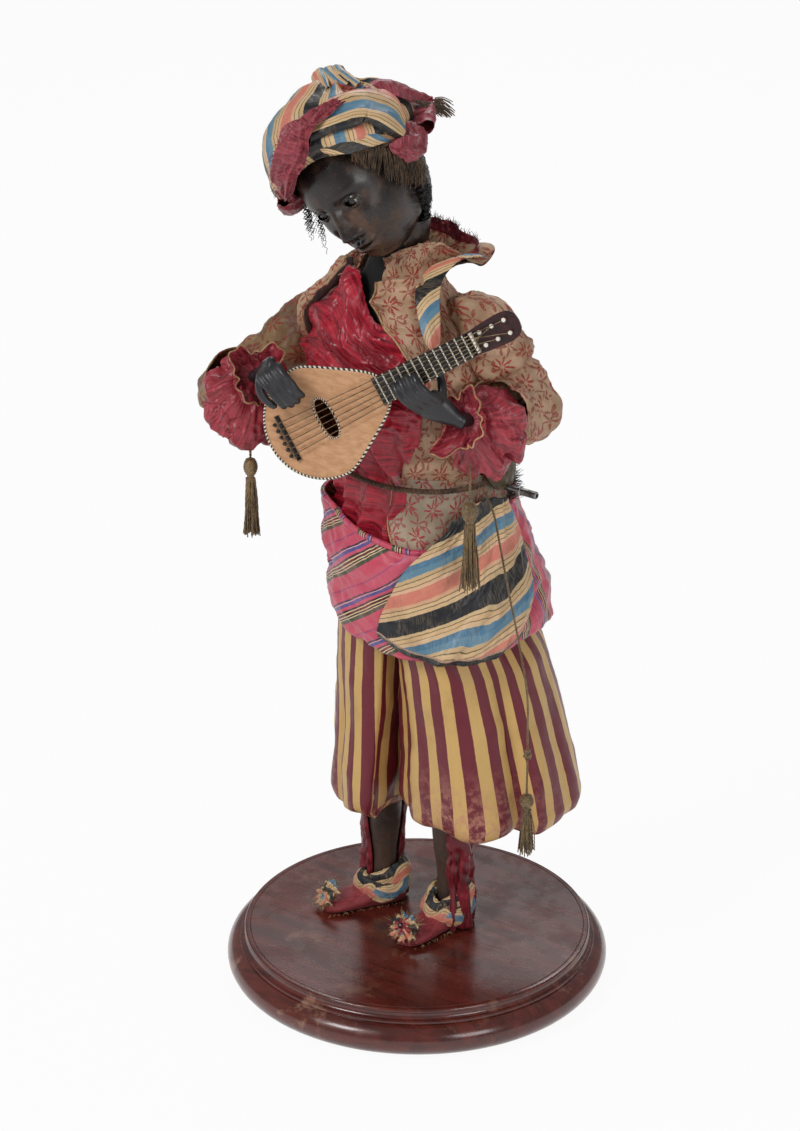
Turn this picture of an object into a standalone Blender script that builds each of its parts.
"""Musical automaton: a costumed mandolin player on a turned wooden base.

Units are metres, +Z is up and the figure faces -Y, so its left hand is on the +X side.
The origin is the centre of the base's underside.
"""

import math

import bmesh
import bpy
from mathutils import Matrix, Vector

MM = 0.001
GAP = 0.3 * MM
CLOTH_GAP = 1.2 * MM

# Turned base
BASE_RADIUS = 141.5 * MM
BASE_HEIGHT = 36 * MM
BASE_TOP_RADIUS = 127 * MM
BEAD_HEIGHT = 26 * MM
BAIZE_THICKNESS = 1.5 * MM
BAIZE_INSET = 14 * MM
BASE_SEGMENTS = 32

# Legs and the rods that bolt the figure down
ROD_RADIUS = 2.5 * MM
ROD_HEAD_RADIUS = 6 * MM
ROD_HEAD_THICKNESS = 3 * MM
RIGHT_LEG = Vector((-39, 12)) * MM
LEFT_LEG = Vector((21, 12)) * MM
ANKLE_RADIUS = 9 * MM
CALF_RADIUS = 13.5 * MM
THIGH_RADIUS = 17 * MM
SLIPPER_LENGTH = 66 * MM
SLIPPER_WIDTH = 25 * MM
SLIPPER_HEIGHT = 20 * MM
SLIPPER_SOCKET = 12 * MM
RIGHT_FOOT_TURN = math.radians(34)
LEFT_FOOT_TURN = math.radians(11)

# Torso: height, centre x, centre y, half width, half depth
TORSO = [
    (300 * MM, -1 * MM, 14 * MM, 57 * MM, 49 * MM),
    (340 * MM, -1 * MM, 13 * MM, 57 * MM, 49 * MM),
    (375 * MM, -3 * MM, 12 * MM, 56 * MM, 47 * MM),
    (430 * MM, -8 * MM, 9 * MM, 58 * MM, 47 * MM),
    (480 * MM, -13 * MM, 5 * MM, 61 * MM, 47 * MM),
    (510 * MM, -15 * MM, 3 * MM, 56 * MM, 41 * MM),
    (530 * MM, -17 * MM, 2 * MM, 38 * MM, 28 * MM),
]
SHELL_WALL = 2.5 * MM
PELVIS_TOP = 300 * MM
PELVIS_THICKNESS = 20 * MM
BODY_SEGMENTS = 26
SHOULDER_BOARD_TOP = 518 * MM
SHOULDER_BOARD_THICKNESS = 7 * MM

# Clockwork movement: the plates stand in planes of constant x
MOVEMENT_X = -4 * MM
PLATE_SPACING = 34 * MM
PLATE_THICKNESS = 1.6 * MM
PLATE_FRONT = -14 * MM
PLATE_BACK = 32 * MM
PLATE_HEIGHT = 126 * MM
PILLAR_RADIUS = 2.2 * MM
DRIVE_MODULE = 1.6 * MM
FLY_MODULE = 1.33 * MM
WHEEL_TEETH = 24
PINION_TEETH = 6
CYLINDER_TEETH = 18
WHEEL_WIDTH = 3 * MM
BARREL_AXIS = Vector((12 * MM, 402 * MM))
BARREL_RADIUS = 15.5 * MM
BARREL_LENGTH = 12 * MM
WINDING_RADIUS = 2.2 * MM
WINDING_TIP_X = 95 * MM
WINDING_SOCKET_SIDE = 2.6 * MM
ARBOR_RADIUS = 1.6 * MM
CAM_RADIUS = 6 * MM
CAM_LIFT = 2 * MM
CAM_COUNT = 2
CAM_THICKNESS = 3 * MM
CYLINDER_RADIUS = 7.5 * MM
CYLINDER_LENGTH = 21 * MM
COMB_TEETH = 12
FLY_RADIUS = 8 * MM
FLY_LENGTH = 13 * MM
RATCHET_RADIUS = 8 * MM
RATCHET_TEETH = 16
STOP_LEVER_RADIUS = 1.3 * MM
STOP_LEVER_REACH = 72 * MM

# Neck and head
NECK_BASE = Vector((-18, 2)) * MM
NECK_SPINDLE_RADIUS = 5.5 * MM
NECK_RADIUS = 9.5 * MM
HEAD_CENTRE = Vector((-34, -21, 618)) * MM
HEAD_ROLL = math.radians(32)
HEAD_NOD = math.radians(24)
HEAD_YAW = math.radians(-2)
HEAD_HALF_WIDTH = 35.5 * MM
HEAD_HALF_DEPTH = 43.5 * MM
HEAD_HALF_HEIGHT = 52 * MM
HEAD_WALL = 3.5 * MM
HEAD_SEGMENTS = 20
HEAD_PIVOT = Vector((0, 6 * MM, -20 * MM))
HEAD_PIN_RADIUS = 1.5 * MM
EYE_RADIUS = 5.6 * MM
EYE_SPACING = 29 * MM
EYE_DEPTH = 31.5 * MM
EYE_HEIGHT = 1 * MM
LID_THICKNESS = 0.6 * MM
NECK_OPENING_RADIUS = 19 * MM
WIG_THICKNESS = 4 * MM
WIG_CLEARANCE = 0.9 * MM

# Arms
RIGHT_SHOULDER = Vector((-76, 2, 508)) * MM
RIGHT_ELBOW = Vector((-133, -53, 446)) * MM
RIGHT_WRIST = Vector((-71, -88, 486)) * MM
LEFT_SHOULDER = Vector((48, 8, 520)) * MM
LEFT_ELBOW = Vector((81, 25, 458)) * MM
LEFT_WRIST = Vector((74, -54, 476)) * MM
FOREARM_RADIUS = 5 * MM
ELBOW_RADIUS = 16 * MM
SHOULDER_SLEEVE_RADIUS = 19 * MM
ELBOW_CLEARANCE = 3 * MM

# Mandolin
MANDOLIN_TAIL = Vector((-42, -112, 448)) * MM
NECK_DIRECTION = Vector((0.760, 0.391, 0.519)).normalized()
FACE_NORMAL = Vector((0.353, -0.919, 0.174)).normalized()
MANDOLIN_LENGTH = 94 * MM
MANDOLIN_HALF_WIDTH = 40 * MM
BOWL_DEPTH = 32 * MM
BOWL_WALL = 2 * MM
STEM_RADIUS = 5 * MM
SOUNDBOARD_THICKNESS = 1.8 * MM
NECK_END = 160 * MM
HEADSTOCK_LENGTH = 38 * MM
NECK_HALF_WIDTH = 8.5 * MM
NECK_THICKNESS = 7 * MM
FINGERBOARD_THICKNESS = 1.6 * MM
STRING_COUNT = 6
STRING_RADIUS = 0.35 * MM
STRING_HEIGHT = 3.2 * MM

# Costume
SHIRT_THICKNESS = 8 * MM
JACKET_THICKNESS = 5 * MM
TROUSER_WALL = 2.5 * MM
TROUSER_TOP = 299 * MM
CROTCH_X = -4 * MM
LEFT_HEM = 137 * MM
RIGHT_HEM = 130 * MM
SASH_BOTTOM = 285 * MM
SASH_TOP = 352 * MM
COLLAR_BOTTOM = 535 * MM
CORD_HEIGHT = 412 * MM
CORD_RADIUS = 0.9 * MM
WAIST_CORD_RADIUS = 1.6 * MM
CORD_OFFSET = 10.6 * MM
HIP_CORD_ROUTE = [
    Vector(point) * MM
    for point in ((60, -11, 408), (70, -15, 405), (80, -20, 394), (87, -22, 372), (95, -22, 338), (102, -19, 300),
                  (107, -16, 262), (108, -16, 226), (108, -16, 190))
]
HIP_CORD_POINT_COUNT = 32
RIGHT_TASSEL_TOP = Vector((-76, -94, 447)) * MM
LEFT_TASSEL_TOP = Vector((76, -44, 447)) * MM
TASSEL_LENGTH = 54 * MM
TASSEL_RADIUS = 6.5 * MM


def material(name, colour, roughness, metallic=0.0):
    """A Principled material of one colour."""
    made = bpy.data.materials.new(name)
    made.use_nodes = True
    shader = made.node_tree.nodes["Principled BSDF"]
    shader.inputs["Base Color"].default_value = (*colour, 1)
    shader.inputs["Roughness"].default_value = roughness
    shader.inputs["Metallic"].default_value = metallic
    return made


def add_object(name, bm, finish, parent=None, smooth_angle=40):
    """Turns a bmesh into a linked object with its material, shaded smooth but for sharp edges."""
    mesh = bpy.data.meshes.new(name)
    bm.to_mesh(mesh)
    bm.free()
    mesh.shade_smooth()
    mesh.set_sharp_from_angle(angle=math.radians(smooth_angle))
    mesh.materials.append(finish)
    made = bpy.data.objects.new(name, mesh)
    made.parent = parent
    bpy.context.scene.collection.objects.link(made)
    return made


def helper(made):
    """Marks an object as a tool for a Boolean, left out of the finished part."""
    made.hide_render = True
    made.display_type = "WIRE"
    return made


def combine(target, operation, others):
    """Applies one Boolean per other object to the target, as live modifiers."""
    for other in others:
        helper(other)
        boolean = target.modifiers.new(operation.lower(), "BOOLEAN")
        boolean.operation = operation
        boolean.solver = "EXACT"
        boolean.object = other
    return target


def carve(target, *cutters):
    """Cuts the cutters out of the target."""
    return combine(target, "DIFFERENCE", cutters)


def fuse(target, *others):
    """Joins the others to the target as one body."""
    return combine(target, "UNION", others)


def slab(name, outer, inner, finish, wrap=False, pole=False, parent=None):
    """A closed skin between two grids of points: a sheet with thickness, or a walled tube if wrap.

    With pole, the first row of each grid is one point, as at the crown of a dome.
    """
    bm = bmesh.new()

    def place(rows):
        placed = []
        for index, row in enumerate(rows):
            if pole and index == 0:
                placed.append([bm.verts.new(row[0])] * len(row))
            else:
                placed.append([bm.verts.new(point) for point in row])
        return placed

    def face(*corners):
        distinct = list(dict.fromkeys(corners))
        if len(distinct) > 2:
            bm.faces.new(distinct)

    out, inn = place(outer), place(inner)
    rows, columns = len(out), len(out[0])
    spans = columns if wrap else columns - 1
    for i in range(rows - 1):
        for j in range(spans):
            k = (j + 1) % columns
            face(out[i][j], out[i][k], out[i + 1][k], out[i + 1][j])
            face(inn[i][j], inn[i + 1][j], inn[i + 1][k], inn[i][k])
    for i in [rows - 1] if pole else [0, rows - 1]:
        for j in range(spans):
            k = (j + 1) % columns
            face(out[i][j], inn[i][j], inn[i][k], out[i][k])
    if not wrap:
        for j in (0, columns - 1):
            for i in range(rows - 1):
                face(out[i][j], out[i + 1][j], inn[i + 1][j], inn[i][j])
    bmesh.ops.recalc_face_normals(bm, faces=bm.faces)
    return add_object(name, bm, finish, parent)


def loft(name, rings, finish, parent=None):
    """A solid through closed rings of equal count, with a face over each end."""
    bm = bmesh.new()
    placed = [[bm.verts.new(point) for point in ring] for ring in rings]
    count = len(rings[0])
    for lower, upper in zip(placed, placed[1:]):
        for j in range(count):
            k = (j + 1) % count
            bm.faces.new((lower[j], lower[k], upper[k], upper[j]))
    bm.faces.new(placed[0])
    bm.faces.new(placed[-1])
    bmesh.ops.recalc_face_normals(bm, faces=bm.faces)
    return add_object(name, bm, finish, parent)


def axes_along(direction, up=Vector((0, 0, 1))):
    """Two unit vectors square to a direction, the second one nearest to up."""
    side = direction.cross(up)
    if side.length < 1e-6:
        side = direction.cross(Vector((0, 1, 0)))
    side.normalize()
    return side, side.cross(direction).normalized()


def frame_of(direction, origin):
    """A matrix whose local Z runs along the direction from the origin."""
    direction = direction.normalized()
    side, over = axes_along(direction)
    return Matrix.Translation(origin) @ Matrix((side, -over, direction)).transposed().to_4x4()


def rod(name, start, end, radius, finish, segments=12, end_radius=None, parent=None):
    """A straight round bar between two points, tapered if end_radius is given."""
    span = end - start
    bm = bmesh.new()
    bmesh.ops.create_cone(
        bm,
        cap_ends=True,
        segments=segments,
        radius1=radius,
        radius2=radius if end_radius is None else end_radius,
        depth=span.length,
        matrix=frame_of(span, start + span / 2),
    )
    return add_object(name, bm, finish, parent)


def ball(name, centre, radius, finish, parent=None, segments=12, rings=8):
    """A sphere."""
    bm = bmesh.new()
    bmesh.ops.create_uvsphere(
        bm, u_segments=segments, v_segments=rings, radius=radius, matrix=Matrix.Translation(centre)
    )
    return add_object(name, bm, finish, parent)


def block(name, low, high, finish, parent=None, bevel=0.0):
    """A box between two corners, with its edges bevelled if bevel is given."""
    low, high = Vector(low), Vector(high)
    bm = bmesh.new()
    size = Matrix.Diagonal((*(high - low), 1))
    bmesh.ops.create_cube(bm, size=1, matrix=Matrix.Translation((low + high) / 2) @ size)
    if bevel:
        bmesh.ops.bevel(
            bm, geom=bm.edges, offset=bevel, segments=1, profile=0.5, affect="EDGES", material=-1
        )
    return add_object(name, bm, finish, parent)


def turned(name, profile, finish, matrix=Matrix(), segments=24, parent=None):
    """A solid turned about local Z from (radius, height) points that start and end on the axis."""
    bm = bmesh.new()
    points = [bm.verts.new((radius, 0, height)) for radius, height in profile]
    edges = [bm.edges.new(pair) for pair in zip(points, points[1:])]
    bmesh.ops.spin(
        bm,
        geom=points + edges,
        cent=(0, 0, 0),
        axis=(0, 0, 1),
        angle=math.tau,
        steps=segments,
        use_merge=True,
    )
    bmesh.ops.remove_doubles(bm, verts=bm.verts, dist=1e-6)
    bmesh.ops.recalc_face_normals(bm, faces=bm.faces)
    bm.transform(matrix)
    return add_object(name, bm, finish, parent)


def prism(name, outline, thickness, finish, matrix=Matrix(), parent=None):
    """A flat outline in local XY, thickened along local +Z."""
    bm = bmesh.new()
    face = bm.faces.new([bm.verts.new((x, y, 0)) for x, y in outline])
    grown = bmesh.ops.extrude_face_region(bm, geom=[face])["geom"]
    moved = [item for item in grown if isinstance(item, bmesh.types.BMVert)]
    bmesh.ops.translate(bm, vec=(0, 0, thickness), verts=moved)
    bmesh.ops.recalc_face_normals(bm, faces=bm.faces)
    bm.transform(matrix)
    return add_object(name, bm, finish, parent)


def tube_along(name, points, radius, finish, resolution=2):
    """A round cord through points, as a curve with filled caps."""
    curve = bpy.data.curves.new(name, "CURVE")
    curve.dimensions = "3D"
    curve.bevel_depth = radius
    curve.bevel_resolution = resolution
    curve.use_fill_caps = True
    spline = curve.splines.new("POLY")
    spline.points.add(len(points) - 1)
    for slot, point in zip(spline.points, points):
        slot.co = (*point, 1)
    curve.materials.append(finish)
    made = bpy.data.objects.new(name, curve)
    bpy.context.scene.collection.objects.link(made)
    return made


def mix(a, b, share):
    """The value a share of the way from a to b."""
    return a + (b - a) * share


def ease(share):
    """0 to 1 with a soft start and end."""
    share = min(1.0, max(0.0, share))
    return share * share * (3 - 2 * share)


def along(table, where):
    """Smoothly reads a table whose rows start with the value looked up."""
    rows = [row for row in table]
    if where <= rows[0][0]:
        return rows[0][1:]
    for lower, upper in zip(rows, rows[1:]):
        if where <= upper[0]:
            share = (where - lower[0]) / (upper[0] - lower[0])
            return tuple(mix(a, b, share) for a, b in zip(lower[1:], upper[1:]))
    return rows[-1][1:]


def smooth_path(points, count):
    """Points at even steps of a Catmull-Rom curve through the given ones."""
    padded = [2 * points[0] - points[1], *points, 2 * points[-1] - points[-2]]
    fine = []
    for a, b, c, d in zip(padded, padded[1:], padded[2:], padded[3:]):
        for step in range(16):
            t = step / 16
            fine.append(
                0.5 * ((2 * b) + (c - a) * t + (2 * a - 5 * b + 4 * c - d) * t * t
                       + (3 * b - a - 3 * c + d) * t ** 3)
            )
    fine.append(points[-1])
    reach = [0.0]
    for a, b in zip(fine, fine[1:]):
        reach.append(reach[-1] + (b - a).length)
    picked, place = [], 0
    for index in range(count):
        wanted = reach[-1] * index / (count - 1)
        while place < len(fine) - 2 and reach[place + 1] < wanted:
            place += 1
        step = reach[place + 1] - reach[place]
        picked.append(fine[place].lerp(fine[place + 1], (wanted - reach[place]) / step if step else 0))
    return picked


def body_point(height, angle, offset):
    """A point at an angle round the torso, offset outwards from its casing."""
    x, y, half_width, half_depth = along(TORSO, height)
    return Vector(
        (x + (half_width + offset) * math.cos(angle), y + (half_depth + offset) * math.sin(angle), height)
    )


def body_row(height, angles, offset):
    """Body points at one height; offset is a number, or a function of the angle."""
    return [body_point(height, a, offset(a) if callable(offset) else offset) for a in angles]


def body_heights(low, high, step):
    """Heights from low to high that take in every row of the torso between them."""
    rows = [row[0] for row in TORSO if low < row[0] < high]
    count = max(2, round((high - low) / step))
    even = [h for h in spread(low, high, count) if all(abs(h - row) > step * 0.3 for row in rows)]
    return sorted({low, high, *even, *rows})


def full_turn(count, start=0.0):
    """Even angles round a circle."""
    return [start + math.tau * index / count for index in range(count)]


def spread(low, high, count):
    """Even steps from low to high."""
    return [mix(low, high, index / (count - 1)) for index in range(count)]


def build_base(wood, felt, steel):
    """The moulded wooden base, its baize, and the two long bolts that hold the legs."""
    bottom = BAIZE_THICKNESS + GAP
    bead_centre = bottom + (BEAD_HEIGHT - bottom) / 2
    bead_radius = (BEAD_HEIGHT - bottom) / 2
    profile = [(0, bottom), (BASE_RADIUS - bead_radius * 1.1, bottom)]
    for angle in (-60, -20, 20, 62):
        turn = math.radians(angle)
        profile.append(
            (BASE_RADIUS - bead_radius * (1 - math.cos(turn)), bead_centre + bead_radius * math.sin(turn))
        )
    step = (BASE_HEIGHT - BEAD_HEIGHT) / 4
    profile += [
        (BASE_TOP_RADIUS + 2 * step, BEAD_HEIGHT),
        (BASE_TOP_RADIUS + 0.6 * step, BEAD_HEIGHT + step),
        (BASE_TOP_RADIUS + 0.6 * step, BASE_HEIGHT - 0.8 * step),
        (BASE_TOP_RADIUS - 0.4 * step, BASE_HEIGHT),
        (0, BASE_HEIGHT),
    ]
    board = turned("base_board", profile, wood, segments=BASE_SEGMENTS)
    turned(
        "baize_pad",
        [(0, 0), (BASE_RADIUS - BAIZE_INSET, 0), (BASE_RADIUS - BAIZE_INSET, BAIZE_THICKNESS), (0, BAIZE_THICKNESS)],
        felt,
        segments=BASE_SEGMENTS,
    )
    for side, place in (("right", RIGHT_LEG), ("left", LEFT_LEG)):
        foot = Vector((*place, bottom))
        head_top = foot + Vector((0, 0, GAP + ROD_HEAD_THICKNESS))
        rod_top = Vector((*place, PELVIS_TOP - PELVIS_THICKNESS / 2))
        shaft = rod(f"leg_rod_{side}", head_top - Vector((0, 0, MM)), rod_top, ROD_RADIUS, steel)
        fuse(shaft, rod(f"rod_head_{side}", foot + Vector((0, 0, GAP)), head_top, ROD_HEAD_RADIUS, steel, 12))
        below, above = foot - Vector((0, 0, MM)), Vector((*place, BASE_HEIGHT + MM))
        carve(
            board,
            rod(f"head_recess_{side}", below, head_top + Vector((0, 0, GAP)), ROD_HEAD_RADIUS + GAP, wood),
            rod(f"rod_hole_{side}", below, above, ROD_RADIUS + GAP, wood),
        )


def leg_radius(height):
    """Radius of the carved leg at a height."""
    table = [
        (BASE_HEIGHT, ANKLE_RADIUS),
        (BASE_HEIGHT + 34 * MM, ANKLE_RADIUS),
        (BASE_HEIGHT + 90 * MM, CALF_RADIUS),
        (BASE_HEIGHT + 135 * MM, CALF_RADIUS * 0.92),
        (PELVIS_TOP - PELVIS_THICKNESS, THIGH_RADIUS),
    ]
    return along(table, height)[0]


def build_leg(side, place, turn, leg_wood, slipper_cloth, silk):
    """One carved leg over its rod, with the slipper that it stands in and the loose silk round the shin."""
    sole = BASE_HEIGHT + GAP
    leg_bottom = sole + SLIPPER_HEIGHT - SLIPPER_SOCKET + GAP
    leg_top = PELVIS_TOP - PELVIS_THICKNESS - GAP
    centre = Vector((*place, 0))
    rings = []
    for height in spread(leg_bottom, leg_top, 9):
        radius = leg_radius(height)
        rings.append(
            [centre + Vector((radius * math.cos(a), radius * math.sin(a), height)) for a in full_turn(12)]
        )
    leg = loft(f"leg_{side}", rings, leg_wood)
    bore_low, bore_high = centre.copy(), centre.copy()
    bore_low.z, bore_high.z = 0, PELVIS_TOP
    carve(leg, rod(f"leg_bore_{side}", bore_low, bore_high, ROD_RADIUS + GAP, leg_wood))

    # Slipper: sections along the foot, from heel to toe, each flat underneath
    forward = Vector((-math.sin(turn), -math.cos(turn), 0))
    across = Vector((forward.y, -forward.x, 0))
    heel = centre - forward * SLIPPER_LENGTH * 0.26
    shape = [
        (0.0, 0.34, 0.50),
        (0.10, 0.80, 0.95),
        (0.28, 0.98, 1.00),
        (0.46, 0.92, 0.88),
        (0.64, 1.00, 0.60),
        (0.80, 1.08, 0.62),
        (0.92, 1.02, 0.78),
        (1.0, 0.62, 0.55),
    ]
    sections = []
    for share, width, height in shape:
        middle = heel + forward * SLIPPER_LENGTH * share
        ring = []
        for angle in full_turn(10, math.radians(-75)):
            out = 0.5 * SLIPPER_WIDTH * width * math.cos(angle)
            up = SLIPPER_HEIGHT * height * max(0.0, 0.5 + 0.62 * math.sin(angle)) / 1.12
            ring.append(middle + across * out + Vector((0, 0, sole + up)))
        sections.append(ring)
    slipper = loft(f"slipper_{side}", sections, slipper_cloth)
    socket_floor = centre + Vector((0, 0, leg_bottom - GAP))
    socket_mouth = centre + Vector((0, 0, sole + SLIPPER_HEIGHT * 2))
    carve(
        slipper,
        rod(f"ankle_socket_{side}", socket_floor, socket_mouth, ANKLE_RADIUS + GAP, slipper_cloth, 24),
        rod(f"slipper_bore_{side}", bore_low, bore_high, ROD_RADIUS + GAP, slipper_cloth),
    )

    # Loose silk that hangs round the back and outer side of the shin
    outward = 1 if side == "left" else -1
    start = math.radians(-60 if outward > 0 else 40)
    angles = spread(start, start + math.radians(200), 11)
    outer, inner = [], []
    low, high = BASE_HEIGHT + SLIPPER_HEIGHT + 3 * MM, BASE_HEIGHT + 112 * MM
    for height in spread(low, high, 6):
        radius = leg_radius(height) + GAP
        share = (height - low) / (high - low)
        drape = mix(8, 3, share) * MM
        outer.append([
            centre + Vector((math.cos(a), math.sin(a), 0))
            * (radius + drape * (0.75 + 0.25 * math.cos(7 * a + 3 * share))) + Vector((0, 0, height))
            for a in angles
        ])
        lining = radius + mix(2.2, 0.4, share) * MM
        inner.append([
            centre + Vector((math.cos(a), math.sin(a), 0)) * lining + Vector((0, 0, height)) for a in angles
        ])
    slab(f"shin_silk_{side}", outer, inner, silk)


def build_torso(wood, card):
    """The pelvis block, the two halves of the moulded casing and the board that carries the neck."""
    angles = full_turn(BODY_SEGMENTS)
    bottom, top = PELVIS_TOP - PELVIS_THICKNESS, PELVIS_TOP
    pelvis = loft(
        "pelvis_block",
        [[point + Vector((0, 0, z - PELVIS_TOP)) for point in body_row(PELVIS_TOP, angles, 0)] for z in (bottom, top)],
        wood,
    )
    for side, place in (("right", RIGHT_LEG), ("left", LEFT_LEG)):
        low, high = Vector((*place, bottom - MM)), Vector((*place, top - PELVIS_THICKNESS / 2 + GAP))
        carve(pelvis, rod(f"pelvis_bore_{side}", low, high, ROD_RADIUS + GAP, wood))

    heights = [PELVIS_TOP + GAP, *[row[0] for row in TORSO[1:]]]
    winding_y, winding_z = BARREL_AXIS
    for name, start in (("torso_casing_front", 180), ("torso_casing_back", 0)):
        seam = math.asin(GAP / 2 / TORSO[2][3]) * 1.6
        half = spread(math.radians(start) + seam, math.radians(start + 180) - seam, BODY_SEGMENTS // 2 + 1)
        casing = slab(
            name,
            [body_row(h, half, 0) for h in heights],
            [body_row(h, half, -SHELL_WALL) for h in heights],
            card,
        )
        hole_start = Vector((MOVEMENT_X, winding_y, winding_z))
        hole_end = Vector((WINDING_TIP_X, winding_y, winding_z))
        carve(casing, rod(f"winding_hole_{start}", hole_start, hole_end, WINDING_RADIUS + MM, card))
        if start == 0:
            carve(casing, stop_lever_slot("casing_slot", card))
    board_rows = [
        [Vector((*point.xy, z)) for point in body_row(SHOULDER_BOARD_TOP, angles[::2], -SHELL_WALL - GAP * 2)]
        for z in (SHOULDER_BOARD_TOP - SHOULDER_BOARD_THICKNESS, SHOULDER_BOARD_TOP)
    ]
    board = loft("shoulder_board", board_rows, wood)
    hole_low = Vector((*NECK_BASE, SHOULDER_BOARD_TOP - 2 * SHOULDER_BOARD_THICKNESS))
    hole_high = Vector((*NECK_BASE, SHOULDER_BOARD_TOP + MM))
    carve(board, rod("neck_bearing", hole_low, hole_high, NECK_SPINDLE_RADIUS + GAP, wood, 16))


def stop_lever_pivot():
    """Where the stop lever turns, behind the movement."""
    return Vector((MOVEMENT_X + 9 * MM, PLATE_BACK + 5 * MM, BARREL_AXIS.y - 16 * MM))


def stop_lever_slot(name, finish):
    """A cutter for the slot that the stop lever comes out through."""
    pivot = stop_lever_pivot()
    low = pivot + Vector((-3 * MM, 4 * MM, -7 * MM))
    high = pivot + Vector((3 * MM, STOP_LEVER_REACH, 7 * MM))
    return block(name, low, high, finish)


def gear_outline(teeth, module):
    """A toothed outline with straight flanks and room for backlash."""
    pitch = teeth * module / 2
    root, tip = pitch - 1.15 * module, pitch + 0.85 * module
    step = math.tau / teeth
    outline = []
    for index in range(teeth):
        middle = index * step
        for radius, share in ((root, -0.29), (tip, -0.09), (tip, 0.09), (root, 0.29)):
            angle = middle + share * step
            outline.append((radius * math.cos(angle), radius * math.sin(angle)))
    return outline


def across_plates(y, z, x, turn=0.0):
    """A frame on a movement axis: local Z runs along +X from x, turned about that axis."""
    return (
        Matrix.Translation((x, y, z))
        @ Matrix(((0, 0, 1, 0), (1, 0, 0, 0), (0, 1, 0, 0), (0, 0, 0, 1)))
        @ Matrix.Rotation(turn, 4, "Z")
    )


def mesh_phase(centre, other, teeth, other_teeth, other_turn=0.0):
    """Turn that puts a wheel's tooth gap on the tooth of the wheel that it meshes with."""
    line = math.atan2(other.y - centre.y, other.x - centre.x)
    back = line + math.pi
    offset = (back - other_turn) / (math.tau / other_teeth)
    share = offset - math.floor(offset)
    return line + (0.5 + share) * math.tau / teeth


def movement_axes():
    """The four arbor positions in the (y, z) plane: barrel, cams, fly, cylinder."""
    barrel = BARREL_AXIS
    drive = DRIVE_MODULE * (WHEEL_TEETH + PINION_TEETH) / 2
    cams = barrel + Vector((-0.125, -math.sqrt(1 - 0.125 ** 2))) * drive
    brake = FLY_MODULE * (WHEEL_TEETH + PINION_TEETH) / 2
    fly = cams + Vector((-0.5, -math.sqrt(0.75))) * brake
    music = DRIVE_MODULE * (CYLINDER_TEETH + PINION_TEETH) / 2
    cylinder = cams + Vector((0.47, -math.sqrt(1 - 0.47 ** 2))) * music
    return barrel, cams, fly, cylinder


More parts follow.
